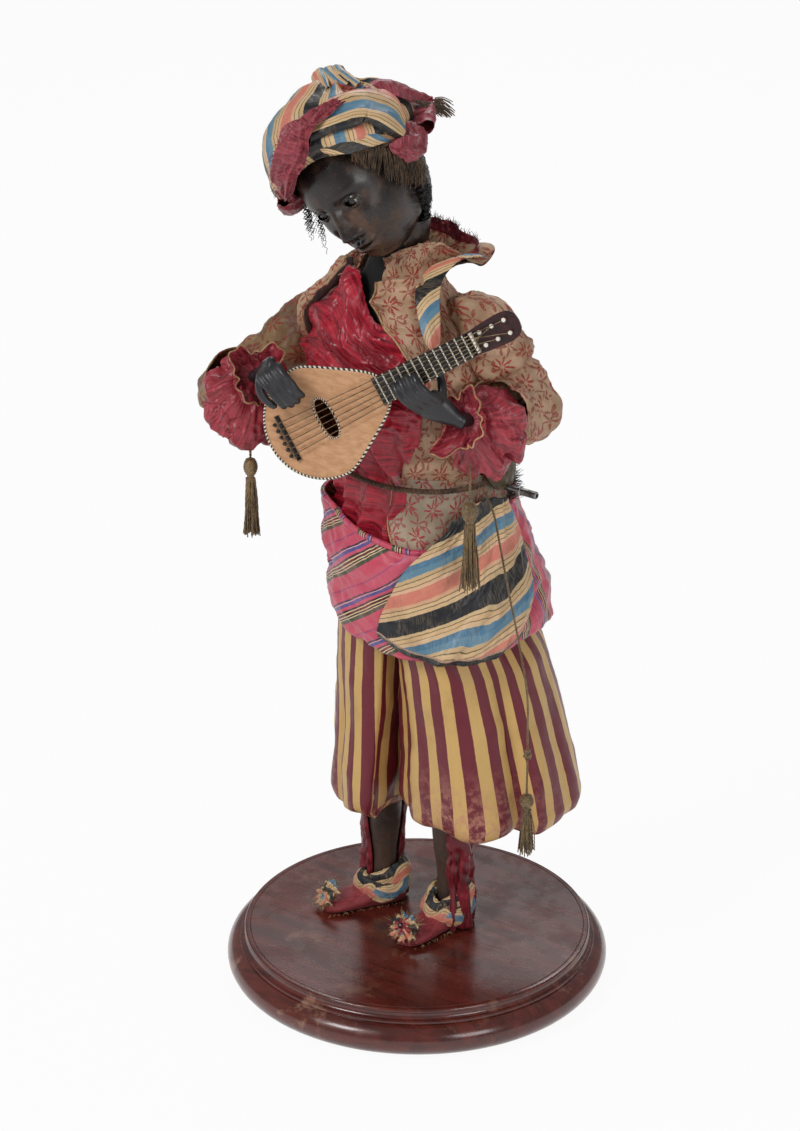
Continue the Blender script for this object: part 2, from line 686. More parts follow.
def build_movement(brass, steel):
    """The clockwork: plates and pillars, spring barrel, cams, air brake, musical cylinder and comb."""
    barrel, cams, fly, cylinder = movement_axes()
    right = MOVEMENT_X - PLATE_SPACING / 2
    left = MOVEMENT_X + PLATE_SPACING / 2
    floor = PELVIS_TOP + GAP
    ceiling = PELVIS_TOP + PLATE_HEIGHT

    def spot(axis, x):
        return Vector((x, axis.x, axis.y))

    frame = block(
        "movement_frame",
        (right - PLATE_THICKNESS, PLATE_FRONT, floor),
        (right, PLATE_BACK, ceiling),
        brass,
    )
    cover = block(
        "movement_plate",
        (left, PLATE_FRONT, floor),
        (left + PLATE_THICKNESS, PLATE_BACK, ceiling),
        brass,
    )
    inset = 2 * PILLAR_RADIUS
    for index, (y, z) in enumerate(
        ((PLATE_FRONT + inset, floor + inset), (PLATE_BACK - inset, floor + inset),
         (PLATE_FRONT + inset, ceiling - inset), (PLATE_BACK - inset, ceiling - inset))
    ):
        start, end = Vector((right - PLATE_THICKNESS / 2, y, z)), Vector((left - GAP, y, z))
        fuse(frame, rod(f"pillar_{index}", start, end, PILLAR_RADIUS, brass, 10))
    for label, axis, radius in (
        ("barrel", barrel, WINDING_RADIUS), ("cam", cams, ARBOR_RADIUS),
        ("fly", fly, ARBOR_RADIUS), ("cylinder", cylinder, ARBOR_RADIUS),
    ):
        low, high = right - 3 * MM, left + 3 * MM
        hole = rod(f"{label}_pivot_holes", spot(axis, low), spot(axis, high), radius + GAP, brass, 14)
        carve(frame, hole)
        carve(cover, hole)

    wheel_x = right + MM
    cam_wheel_x = left - MM - WHEEL_WIDTH

    # Spring barrel with the great wheel on its rim, running on the winding arbor
    drum_start = spot(barrel, wheel_x + WHEEL_WIDTH - 0.2 * MM)
    drum_end = spot(barrel, wheel_x + WHEEL_WIDTH + BARREL_LENGTH)
    great = prism(
        "spring_barrel", gear_outline(WHEEL_TEETH, DRIVE_MODULE), WHEEL_WIDTH, brass,
        across_plates(*barrel, wheel_x),
    )
    fuse(great, rod("barrel_drum", drum_start, drum_end, BARREL_RADIUS, brass, 20))
    carve(great, rod("barrel_bore", spot(barrel, right - MM), spot(barrel, left + MM), WINDING_RADIUS + GAP, brass))

    # Cams, with the pinion that the barrel drives and the wheel that drives the fly
    pinion_turn = mesh_phase(cams, barrel, PINION_TEETH, WHEEL_TEETH)
    arbor = rod("cam_arbor", spot(cams, right - PLATE_THICKNESS), spot(cams, left + PLATE_THICKNESS),
                ARBOR_RADIUS, steel, 10)
    fuse(arbor, prism("cam_pinion", gear_outline(PINION_TEETH, DRIVE_MODULE), WHEEL_WIDTH, brass,
                      across_plates(*cams, wheel_x, pinion_turn)))
    for index in range(CAM_COUNT):
        outline = []
        for angle in full_turn(16):
            lift = CAM_LIFT * max(0.0, math.cos((index + 1) * angle / 2) ** 2 - 0.5) * 2
            outline.append(((CAM_RADIUS + lift) * math.cos(angle), (CAM_RADIUS + lift) * math.sin(angle)))
        start = wheel_x + WHEEL_WIDTH + 2 * MM + index * (CAM_THICKNESS - 0.1 * MM)
        fuse(arbor, prism(f"cam_{index}", outline, CAM_THICKNESS, brass, across_plates(*cams, start, index)))
    fuse(arbor, prism("cam_wheel", gear_outline(WHEEL_TEETH, FLY_MODULE), WHEEL_WIDTH, brass,
                      across_plates(*cams, cam_wheel_x)))

    # Air brake
    fly_turn = mesh_phase(fly, cams, PINION_TEETH, WHEEL_TEETH)
    fan = rod("fly_arbor", spot(fly, right - PLATE_THICKNESS), spot(fly, left + PLATE_THICKNESS),
              ARBOR_RADIUS, steel, 10)
    fuse(fan, prism("fly_pinion", gear_outline(PINION_TEETH, FLY_MODULE), WHEEL_WIDTH, brass,
                    across_plates(*fly, cam_wheel_x, fly_turn)))
    blade_x = wheel_x + WHEEL_WIDTH + 3 * MM
    fuse(fan, block("fly_blades", (blade_x, fly.x - 0.5 * MM, fly.y - FLY_RADIUS),
                    (blade_x + FLY_LENGTH, fly.x + 0.5 * MM, fly.y + FLY_RADIUS), brass))

    # Musical cylinder, driven by the cam pinion
    cylinder_turn = mesh_phase(cylinder, cams, CYLINDER_TEETH, PINION_TEETH, pinion_turn)
    drum = rod("music_cylinder", spot(cylinder, right - PLATE_THICKNESS), spot(cylinder, left + PLATE_THICKNESS),
               ARBOR_RADIUS, brass, 10)
    fuse(drum, prism("cylinder_wheel", gear_outline(CYLINDER_TEETH, DRIVE_MODULE), WHEEL_WIDTH, brass,
                     across_plates(*cylinder, wheel_x, cylinder_turn)))
    body_x = wheel_x + WHEEL_WIDTH - 0.2 * MM
    fuse(drum, rod("cylinder_body", spot(cylinder, body_x), spot(cylinder, body_x + CYLINDER_LENGTH),
                   CYLINDER_RADIUS, brass, 16))

    # Comb: a block on the pelvis, and tuned teeth that reach the cylinder
    comb_y = cylinder.x + CYLINDER_RADIUS + GAP + 0.1 * MM
    comb_x = body_x + MM
    comb_width = CYLINDER_LENGTH - 2 * MM
    teeth_back, plate_back = comb_y + 7 * MM, comb_y + 11 * MM
    comb = block("music_comb", (comb_x, teeth_back, floor), (comb_x + comb_width, plate_back, cylinder.y + MM), steel)
    pitch = comb_width / COMB_TEETH
    for index in range(COMB_TEETH):
        x = comb_x + pitch * (index + 0.2)
        fuse(comb, block(f"comb_tooth_{index}", (x, comb_y, cylinder.y - 0.5 * MM),
                         (x + pitch * 0.6, teeth_back + MM, cylinder.y + 0.5 * MM), steel))

    # Winding arbor with its ratchet, out through the figure's left side
    winding = turned(
        "winding_arbor",
        [
            (0, 0), (WINDING_RADIUS, 0),
            (WINDING_RADIUS, WINDING_TIP_X - right - 16 * MM),
            (WINDING_RADIUS + 1.3 * MM, WINDING_TIP_X - right - 15.5 * MM),
            (WINDING_RADIUS + 1.3 * MM, WINDING_TIP_X - right - 13.5 * MM),
            (WINDING_RADIUS + 0.5 * MM, WINDING_TIP_X - right - 13 * MM),
            (WINDING_RADIUS + 0.5 * MM, WINDING_TIP_X - right - 0.6 * MM),
            (WINDING_RADIUS, WINDING_TIP_X - right), (0, WINDING_TIP_X - right),
        ],
        steel,
        across_plates(*barrel, right - PLATE_THICKNESS + GAP),
        12,
    )
    ratchet = []
    for index in range(RATCHET_TEETH):
        step = math.tau / RATCHET_TEETH
        for radius, share in ((RATCHET_RADIUS, 0.0), (RATCHET_RADIUS - 1.4 * MM, 0.12)):
            angle = step * (index + share)
            ratchet.append((radius * math.cos(angle), radius * math.sin(angle)))
    ratchet_x = left + PLATE_THICKNESS + MM
    fuse(winding, prism("ratchet_wheel", ratchet, 2 * MM, steel, across_plates(*barrel, ratchet_x)))
    half = WINDING_SOCKET_SIDE / 2
    carve(winding, block("key_socket", (WINDING_TIP_X - 9 * MM, barrel.x - half, barrel.y - half),
                         (WINDING_TIP_X + 5 * MM, barrel.x + half, barrel.y + half), steel))

    # Click that lets the ratchet turn one way, on a stud in the plate
    stud = Vector((left + PLATE_THICKNESS, barrel.x + 9 * MM, barrel.y + RATCHET_RADIUS + 5 * MM))
    fuse(cover, rod("click_stud", stud - Vector((MM, 0, 0)), stud + Vector((4 * MM, 0, 0)), MM, brass, 10))
    nose = Vector((0, barrel.x + MM, barrel.y + RATCHET_RADIUS + GAP + 0.2 * MM))
    click_x = ratchet_x + 0.1 * MM
    bar = [
        (nose.y, nose.z), (nose.y + 1.2 * MM, nose.z), (stud.y + 2 * MM, stud.z - 1.6 * MM),
        (stud.y + 2.4 * MM, stud.z + 1.4 * MM), (stud.y - MM, stud.z + 2.2 * MM),
    ]
    click = prism("click", [(y, z) for y, z in bar], 1.8 * MM, steel, across_plates(0, 0, click_x))
    carve(click, rod("click_bore", stud - Vector((MM, 0, 0)), stud + Vector((9 * MM, 0, 0)), MM + GAP, steel, 12))

    # Stop lever, on a stud between the plates, with its knob behind the figure
    pivot = stop_lever_pivot()
    arm = Vector((0, STOP_LEVER_REACH - pivot.y, 0))
    lever = rod("stop_lever", pivot - Vector((0, 2.2 * MM, 0)), pivot + arm, STOP_LEVER_RADIUS, steel, 8)
    fuse(lever, ball("stop_knob", pivot + arm, 3 * MM, brass, segments=8, rings=6))
    hub = Vector((3 * MM, 0, 0))
    fuse(lever, rod("stop_hub", pivot - hub, pivot + hub, 3 * MM, steel, 12))
    carve(lever, rod("stop_bore", pivot - 2 * hub, pivot + 2 * hub, 1.3 * MM + GAP, steel, 10))
    stem = rod("stop_stud", Vector((left + PLATE_THICKNESS / 2, *pivot.yz)), pivot - 1.5 * hub, 1.3 * MM, brass, 10)
    ear_low = Vector((left, PLATE_BACK - 3 * MM, pivot.z - 4 * MM))
    ear_high = Vector((left + PLATE_THICKNESS, pivot.y + 3 * MM, pivot.z + 4 * MM))
    ear = block("stop_ear", ear_low - Vector((0.2 * MM, 0, 0)), ear_high + Vector((0.2 * MM, 0, 0)), brass)
    fuse(cover, ear, stem)


def head_radius(direction):
    """Distance from the head's centre to its skin, in the head's own frame, where -Y is the face."""
    d = direction.normalized()
    narrow = 1 - 0.20 * ease(-d.z) * (1 if d.y < 0 else 0.6)
    half = Vector((HEAD_HALF_WIDTH * narrow, HEAD_HALF_DEPTH * (1 - 0.10 * ease(-d.z)), HEAD_HALF_HEIGHT))
    radius = 1 / math.sqrt((d.x / half.x) ** 2 + (d.y / half.y) ** 2 + (d.z / half.z) ** 2)

    def bump(x, z, width, height, rise):
        if d.y > 0:
            return 0.0
        return rise * math.exp(-(((d.x - x) / width) ** 2) - (((d.z - z) / height) ** 2))

    radius += bump(0, -0.30, 0.11, 0.13, 6.5 * MM)
    radius += bump(0, -0.08, 0.09, 0.20, 3.0 * MM)
    radius += bump(0, -0.55, 0.22, 0.07, 2.2 * MM)
    radius += bump(0, -0.66, 0.19, 0.06, 1.8 * MM)
    radius += bump(0, -0.86, 0.24, 0.14, 2.6 * MM)
    for side in (-1, 1):
        radius -= bump(side * 0.36, 0.02, 0.17, 0.11, 2.6 * MM)
        radius += bump(side * 0.36, 0.22, 0.28, 0.10, 1.2 * MM)
        radius += bump(side * 0.50, -0.30, 0.22, 0.24, 1.2 * MM)
    return radius


def head_patch(pole, angles, rings, offset):
    """Rows of points round a pole of the head (+1 back, -1 face), offset from the skin."""
    rows = []
    for polar in rings:
        row = []
        for a in angles:
            d = Vector((math.sin(polar) * math.cos(a), pole * math.cos(polar), math.sin(polar) * math.sin(a)))
            row.append(d * (head_radius(d) + offset))
        rows.append(row)
    return rows


def build_neck(wood, steel, head_frame):
    """The turned neck post on its spindle, and the pin that the head nods on."""
    pivot = head_frame.matrix_world @ HEAD_PIVOT
    base = Vector((*NECK_BASE, SHOULDER_BOARD_TOP + GAP))
    curve = smooth_path([base, base + Vector((0, -MM, 24 * MM)), pivot - Vector((0, -2 * MM, 30 * MM)), pivot], 7)
    rings = []
    for index, point in enumerate(curve):
        share = index / (len(curve) - 1)
        radius = along(
            [(0.0, 12 * MM), (0.1, 12 * MM), (0.2, NECK_RADIUS), (0.8, NECK_RADIUS), (1.0, 7 * MM)], share
        )[0]
        rings.append([point + Vector((radius * math.cos(a), radius * math.sin(a), 0)) for a in full_turn(12)])
    post = loft("neck_post", rings, wood)
    spindle_low = base - Vector((0, 0, SHOULDER_BOARD_THICKNESS + 6 * MM))
    fuse(post, rod("neck_spindle", spindle_low, base + Vector((0, 0, 2 * MM)), NECK_SPINDLE_RADIUS, wood, 16))
    fuse(post, ball("neck_top", pivot, 7 * MM, wood, segments=12, rings=8))
    axis = head_frame.matrix_world.to_3x3() @ Vector((1, 0, 0))
    reach = axis * 22 * MM
    carve(post, rod("pin_bore", pivot - reach, pivot + reach, HEAD_PIN_RADIUS + GAP, wood, 10))
    rod("head_pin", pivot - reach, pivot + reach, HEAD_PIN_RADIUS, steel, 10)


def build_head(skin, glass, lid, hair, card, head_frame):
    """The two halves of the moulded head, glass eyes, rocking eyelids and wig."""
    ring_angles = full_turn(HEAD_SEGMENTS)
    inside = -HEAD_WALL
    face_rings = [math.radians(a) for a in (0, 12, 22, 32, 42, 53, 65, 78, 89.6)]
    face = slab("head_face", head_patch(-1, ring_angles, face_rings, 0),
                head_patch(-1, ring_angles, face_rings, inside), skin, wrap=True, pole=True, parent=head_frame)
    back_rings = [math.radians(a) for a in (0, 18, 36, 54, 72, 89.6)]
    crown = slab("head_back", head_patch(1, ring_angles, back_rings, 0),
                 head_patch(1, ring_angles, back_rings, inside), card, wrap=True, pole=True, parent=head_frame)
    down = head_frame.matrix_world.to_3x3().inverted() @ Vector((0, 0, -1))

    def neck_cutter(name, extra):
        """The room that the neck needs as the head nods."""
        return rod(name, HEAD_PIVOT + down * 75 * MM, HEAD_PIVOT - down * 9 * MM, NECK_OPENING_RADIUS + extra, card,
                   20, NECK_RADIUS + 3 * MM + extra, head_frame)

    carve(face, neck_cutter("neck_opening_face", 0))
    carve(crown, neck_cutter("neck_opening_back", 0))

    # Lugs inside the back half that hang on the head pin
    for side in (-1, 1):
        near, far = side * 14 * MM, side * (HEAD_HALF_WIDTH - HEAD_WALL / 2) * 0.80
        low = Vector((min(near, far), HEAD_PIVOT.y - 4 * MM, HEAD_PIVOT.z - 4 * MM))
        high = Vector((max(near, far), HEAD_PIVOT.y + 4 * MM, HEAD_PIVOT.z + 4 * MM))
        fuse(crown, block(f"pin_lug_{side + 1}", low, high, card, parent=head_frame))
    reach = Vector((HEAD_HALF_WIDTH * 0.8, 0, 0))
    carve(crown, rod("lug_bore", HEAD_PIVOT - reach, HEAD_PIVOT + reach, HEAD_PIN_RADIUS + GAP, card, 10,
                     parent=head_frame))

    # Eyes in their sockets, and the lids that rock over them on one spindle
    lid_inner = EYE_RADIUS + GAP
    lid_outer = lid_inner + LID_THICKNESS
    spindle = rod("eyelids", Vector((-EYE_SPACING / 2 + EYE_RADIUS + GAP, -EYE_DEPTH, EYE_HEIGHT)),
                  Vector((EYE_SPACING / 2 - EYE_RADIUS - GAP, -EYE_DEPTH, EYE_HEIGHT)), 0.8 * MM, lid, 8,
                  parent=head_frame)
    for side, label in ((-1, "right"), (1, "left")):
        centre = Vector((side * EYE_SPACING / 2, -EYE_DEPTH, EYE_HEIGHT))
        ball(f"eye_{label}", centre, EYE_RADIUS, glass, head_frame)
        carve(face, ball(f"eye_socket_{label}", centre, lid_outer + 2 * GAP, skin, head_frame, 16, 10))
        outer, inner = [], []
        for turn in spread(math.radians(28), math.radians(100), 4):
            rows = ([], [])
            for polar in spread(math.radians(14), math.radians(166), 7):
                d = Vector((math.cos(polar), -math.sin(polar) * math.cos(turn), math.sin(polar) * math.sin(turn)))
                rows[0].append(centre + d * lid_outer)
                rows[1].append(centre + d * lid_inner)
            outer.append(rows[0])
            inner.append(rows[1])
        cup = slab(f"lid_{label}", outer, inner, lid, parent=head_frame)
        tab_start = centre - Vector((side * (lid_inner * 0.97), 0, 0))
        tab_end = centre - Vector((side * (lid_outer + 0.2 * MM), 0, 0))
        fuse(spindle, rod(f"lid_tab_{label}", tab_start, tab_end, 2.2 * MM, lid, 10, parent=head_frame), cup)

    # Wig: a band of hair round the back and sides, thicker where the locks hang
    rows_out, rows_in = [], []
    for polar in (math.radians(a) for a in (36, 54, 72, 89.6, 101)):
        out_row, in_row = [], []
        for a in ring_angles:
            d = Vector((math.sin(polar) * math.cos(a), math.cos(polar), math.sin(polar) * math.sin(a)))
            lock = 0.75 + 0.25 * math.cos(9 * a + polar * 7)
            out_row.append(d * (head_radius(d) + WIG_CLEARANCE + WIG_THICKNESS * lock))
            in_row.append(d * (head_radius(d) + WIG_CLEARANCE))
        rows_out.append(out_row)
        rows_in.append(in_row)
    wig = slab("wig", rows_out, rows_in, hair, wrap=True, parent=head_frame)
    carve(wig, neck_cutter("neck_opening_wig", 5 * MM))


def turban_rows(angles, offset_out, offset_in, low_edge, rise):
    """Rows of a wrapped turban from its low edge to its crown, outside and inside."""
    outer, inner = [], []
    count = 7
    for index in range(count):
        share = index / (count - 1)
        out_row, in_row = [], []
        for a in angles:
            edge = low_edge(a)
            lift = mix(edge, math.radians(84), share)
            d = Vector((math.cos(lift) * math.cos(a), math.cos(lift) * math.sin(a), math.sin(lift)))
            base = head_radius(d)
            swell = offset_out * (0.55 + 0.75 * math.sin(math.pi * min(1.0, share * 1.15 + 0.18)))
            roll = rise * math.cos(3 * (lift * 2.2 + a * 0.5))
            out_row.append(d * (base + offset_in + max(2 * MM, swell + roll)))
            in_row.append(d * (base + offset_in))
        outer.append(out_row)
        inner.append(in_row)
    return outer, inner


def build_turban(striped, red, head_frame):
    """The wound turban and the scarf that crosses it and hangs behind."""
    angles = full_turn(22)

    def brim(a):
        # Low at the back, higher over the brow, lower towards the figure's right
        return math.radians(15 + 15 * -math.sin(a) + 4 * math.cos(a))

    outer, inner = turban_rows(angles, 15 * MM, WIG_THICKNESS + 1.9 * MM, brim, 1.6 * MM)
    slab("turban", outer, inner, striped, wrap=True, parent=head_frame)

    # Scarf: a rope of cloth from the figure's right temple, behind the head and up over its left
    path = [
        Vector((-40, -22, 8)) * MM, Vector((-50, -2, 2)) * MM, Vector((-44, 26, 0)) * MM,
        Vector((-20, 50, 4)) * MM, Vector((14, 53, 8)) * MM, Vector((40, 36, 14)) * MM,
        Vector((51, 8, 22)) * MM, Vector((49, -14, 30)) * MM,
    ]
    rings = []
    count = 12
    spine = smooth_path(path, count)
    for index, point in enumerate(spine):
        ahead = spine[min(index + 1, count - 1)] - spine[max(index - 1, 0)]
        outward = Vector((point.x, point.y, 0)).normalized()
        over = ahead.normalized().cross(outward).normalized()
        wide = 11 * MM * (0.55 + 0.45 * math.sin(math.pi * index / (count - 1)))
        thick = 3.6 * MM * (0.7 + 0.3 * math.sin(math.pi * index / (count - 1)))
        rings.append([
            point + outward * (8.5 * MM + thick * math.cos(a)) + over * wide * math.sin(a) for a in full_turn(8)
        ])
    scarf = loft("turban_scarf", rings, red, parent=head_frame)
    guard_out, guard_in = turban_rows(
        angles, 15 * MM, WIG_THICKNESS + 1.9 * MM, lambda a: brim(a) - math.radians(1.5), 1.6 * MM
    )
    swollen = [[point * (1 + 0.4 * MM / point.length) for point in row] for row in guard_out]
    core = [[point * 0.35 for point in row] for row in guard_in]
    carve(scarf, slab("scarf_guard", swollen, core, red, wrap=True, parent=head_frame))
    hair_out, hair_in = [], []
    for polar in spread(math.radians(14), math.radians(100), 7):
        d_rows = [
            Vector((math.sin(polar) * math.cos(a), math.cos(polar), math.sin(polar) * math.sin(a)))
            for a in full_turn(HEAD_SEGMENTS)
        ]
        hair_out.append([d * (head_radius(d) + 2 * GAP + WIG_THICKNESS) for d in d_rows])
        hair_in.append([d * head_radius(d) * 0.4 for d in d_rows])
    carve(scarf, slab("scarf_hair_guard", hair_out, hair_in, red, wrap=True, parent=head_frame))


def build_arm(side, shoulder, elbow, wrist, cloth, silk, wood, cuff, under):
    """One arm: stuffed upper sleeve, carved forearm, lower sleeve and ruffled cuff."""
    upper = elbow - shoulder
    side_axis, over_axis = axes_along(upper.normalized())
    rings = []
    count = 7
    for index in range(count):
        share = index / (count - 1)
        centre = shoulder + upper * share
        radius = mix(SHOULDER_SLEEVE_RADIUS, ELBOW_RADIUS, share)
        puff = 1.5 * MM * math.sin(6 * math.pi * share)
        if index == count - 1:
            centre += upper.normalized() * ELBOW_RADIUS * 0.55
            radius *= 0.62
        rings.append([
            centre + (side_axis * math.cos(a) + over_axis * math.sin(a)) * (radius + puff * math.cos(2 * a))
            for a in full_turn(10)
        ])
    sleeve = loft(f"upper_sleeve_{side}", rings, cloth)
    fore = wrist - elbow
    reach = fore.normalized()
    carve(
        sleeve,
        body_guard(f"sleeve_guard_{side}", under, cloth),
        rod(f"forearm_clearance_{side}", elbow, elbow + reach * 3 * ELBOW_RADIUS, FOREARM_RADIUS + ELBOW_CLEARANCE,
            cloth, 16),
        ball(f"elbow_socket_{side}", elbow, FOREARM_RADIUS + GAP, cloth),
    )
    dowel = rod(f"hand_{side}", elbow, wrist, FOREARM_RADIUS, wood, 12)
    fuse(dowel, ball(f"elbow_eye_{side}", elbow, FOREARM_RADIUS, wood, segments=12, rings=8))

    # Lower sleeve and cuff: lofted collars with a bore for the forearm
    across, over = axes_along(reach)
    bore_start, bore_end = elbow - reach * MM, wrist + reach * 30 * MM

    def collar(name, start, end, profile, finish, ruffles, depth):
        rows = []
        for share, radius, drop in profile:
            centre = elbow + reach * mix(start, end, share) - over * drop
            rows.append([
                centre + (across * math.cos(a) + over * math.sin(a)) * (radius + depth * math.cos(ruffles * a + 5 * share))
                for a in full_turn(20)
            ])
        made = loft(name, rows, finish)
        return carve(made, rod(f"{name}_bore", bore_start, bore_end, FOREARM_RADIUS + GAP, finish, 16))

    collar(f"lower_sleeve_{side}", cuff["start"], cuff["middle"] - GAP, cuff["sleeve"], cloth, 3, 0.5 * MM)
    ruffle = collar(f"cuff_{side}", cuff["middle"], cuff["end"], cuff["ruffle"], silk, 7, 1.6 * MM)
    top = cuff["tassel"]
    hole = CORD_RADIUS + GAP
    carve(ruffle, rod(f"tassel_hole_{side}", top + Vector((0, 0, GAP)), top - Vector((0, 0, 30 * MM)), hole, silk, 10))
    return dowel


def body_guard(name, offset, finish, low=280 * MM, high=560 * MM):
    """A solid copy of the torso, swollen by an offset, to trim what lies against it."""
    rows = []
    for z in [low, *[row[0] for row in TORSO if row[0] > low], high]:
        rows.append([Vector((*point.xy, z)) for point in body_row(z, full_turn(BODY_SEGMENTS), offset)])
    return loft(name, rows, finish)


def finger(name, points, radius, wood):
    """A tapered, bent finger through points, rounded at the tip; its rings keep one direction of twist."""
    count = 5
    spine = smooth_path(points, count)
    side = axes_along((spine[1] - spine[0]).normalized())[0]
    rings = []
    for index, point in enumerate(spine):
        ahead = (spine[min(index + 1, count - 1)] - spine[max(index - 1, 0)]).normalized()
        side = (side - ahead * side.dot(ahead)).normalized()
        over = side.cross(ahead)
        size = radius * mix(1.0, 0.85, index / (count - 1)) * (0.6 if index == count - 1 else 1.0)
        rings.append([point + (side * math.cos(a) + over * math.sin(a)) * size for a in full_turn(6)])
    return loft(name, rings, wood)


def build_hands(dowels, wood, mandolin):
    """Palms and fingers, carved in one with the forearms. Points are in the mandolin's frame."""
    to_world = mandolin.matrix_world
    away = to_world.to_3x3()

    def at(x, y, z):
        return to_world @ (Vector((x, y, z)) * MM)

    def palm(name, wrist, knuckles, half_width, half_depth, flat):
        span = knuckles - wrist
        over = (away @ flat).normalized()
        across = span.cross(over).normalized()
        rings = []
        for share, width in ((-0.15, 0.55), (0.25, 0.8), (0.65, 1.0), (1.0, 0.92)):
            rings.append([
                wrist + span * share + across * half_width * width * math.cos(a) + over * half_depth * math.sin(a)
                for a in full_turn(8)
            ])
        return loft(name, rings, wood)

    # Right hand: loosely closed over the strings above the sound hole
    wrist, knuckles = RIGHT_WRIST, at(30, 46, 17)
    fuse(dowels["right"], palm("palm_right", wrist, knuckles, 10 * MM, 5.5 * MM, Vector((0, 0.3, 1))))
    for index in range(4):
        x = 22 + 5.0 * index
        points = [at(x + 1, 47, 16), at(x + 4, 34, 20), at(x + 5, 23, 16.5), at(x + 5, 19, 12.5)]
        fuse(dowels["right"], finger(f"finger_right_{index}", points, 2.9 * MM, wood))
    thumb = [at(25, 48, 15), at(18, 34, 18), at(21, 23, 12.5)]
    fuse(dowels["right"], finger("thumb_right", thumb, 2.8 * MM, wood))

    # Left hand: thumb behind the neck, fingers over the fingerboard
    wrist, knuckles = LEFT_WRIST, at(113, -19, 2)
    fuse(dowels["left"], palm("palm_left", wrist, knuckles, 10 * MM, 5.5 * MM, Vector((0.2, -0.4, 1))))
    for index in range(4):
        x = 106 + 4.9 * index
        points = [at(x + 1, -24, 1), at(x - 1, -15, 8), at(x - 3, -5, 9.4), at(x - 4, 2, 8.6)]
        fuse(dowels["left"], finger(f"finger_left_{index}", points, 2.6 * MM, wood))
    thumb = [at(119, -28, -3), at(125, -18, -11), at(127, -5, -13.5)]
    fuse(dowels["left"], finger("thumb_left", thumb, 2.8 * MM, wood))


def mandolin_outline(grow=0.0, count=24):
    """The pear-shaped outline of the mandolin, tail at the origin, in its own XY plane."""
    half, length = MANDOLIN_HALF_WIDTH, MANDOLIN_LENGTH
    centre = half * 0.98
    outline = []
    for angle in full_turn(count):
        x = math.cos(angle)
        shoulder = ease(x)
        reach = mix(half, length - centre, shoulder ** 1.2)
        width = half * (1 - 0.28 * shoulder)
        outline.append((centre + (reach + grow) * x, (width + grow) * math.sin(angle)))
    return outline


